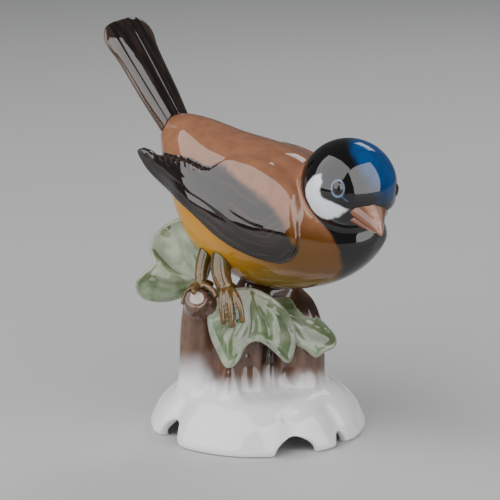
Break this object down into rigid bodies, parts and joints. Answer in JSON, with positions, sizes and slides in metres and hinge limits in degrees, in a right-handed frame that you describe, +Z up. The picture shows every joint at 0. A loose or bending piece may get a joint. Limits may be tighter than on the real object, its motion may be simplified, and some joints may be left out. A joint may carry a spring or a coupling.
{
  "type": "porcelain songbird figurine",
  "caption": "Glazed porcelain songbird with cocked tail, perched on a leafy stump that rises from a hollow white mound with notched feet.",
  "frame": {"origin": "middle of the bounding box, on the table that the mound stands on", "axes": "+Z up; -Y towards the side the figurine is shown from; +X to that viewer's right, where the bird's head is"},
  "size_m": [0.073, 0.061, 0.1],
  "materials": {
    "white_glaze": "bare white porcelain under clear gloss glaze",
    "bark_paint": "brown fading to white near the base, clear gloss glaze",
    "leaf_paint": "pale grey-green with paler folds, clear gloss glaze",
    "body_paint": "brown back and breast shading to ochre and olive yellow below, clear gloss glaze",
    "head_paint": "black with a blue cap and white cheeks, clear gloss glaze",
    "bill_paint": "dull pink-brown, clear gloss glaze",
    "eye_paint": "black pupil in a pale blue ring, clear gloss glaze",
    "wing_paint": "near black with brown shoulders and streaks, clear gloss glaze",
    "tail_paint": "dark brown with fine feather lines, clear gloss glaze",
    "foot_paint": "golden brown, clear gloss glaze"
  },
  "bodies": {
    "root": {"base_plinth": "white_glaze", "stump_core": "bark_paint", "trunk_left": "bark_paint", "trunk_centre": "bark_paint", "trunk_inner": "bark_paint", "trunk_right": "bark_paint", "branch_stub": "bark_paint", "perch_branch": "bark_paint", "leaf_left": "leaf_paint", "leaf_front": "leaf_paint", "leaf_right": "leaf_paint", "body_shell": "body_paint", "head_shell": "head_paint", "beak_upper": "bill_paint", "beak_lower": "bill_paint", "eye_left": "eye_paint", "eye_right": "eye_paint", "wing_left": "wing_paint", "wing_right": "wing_paint", "tail": "tail_paint", "leg_left": "foot_paint", "leg_right": "foot_paint", "toes_left": "foot_paint", "toes_right": "foot_paint"}
  },
  "joints": []
}
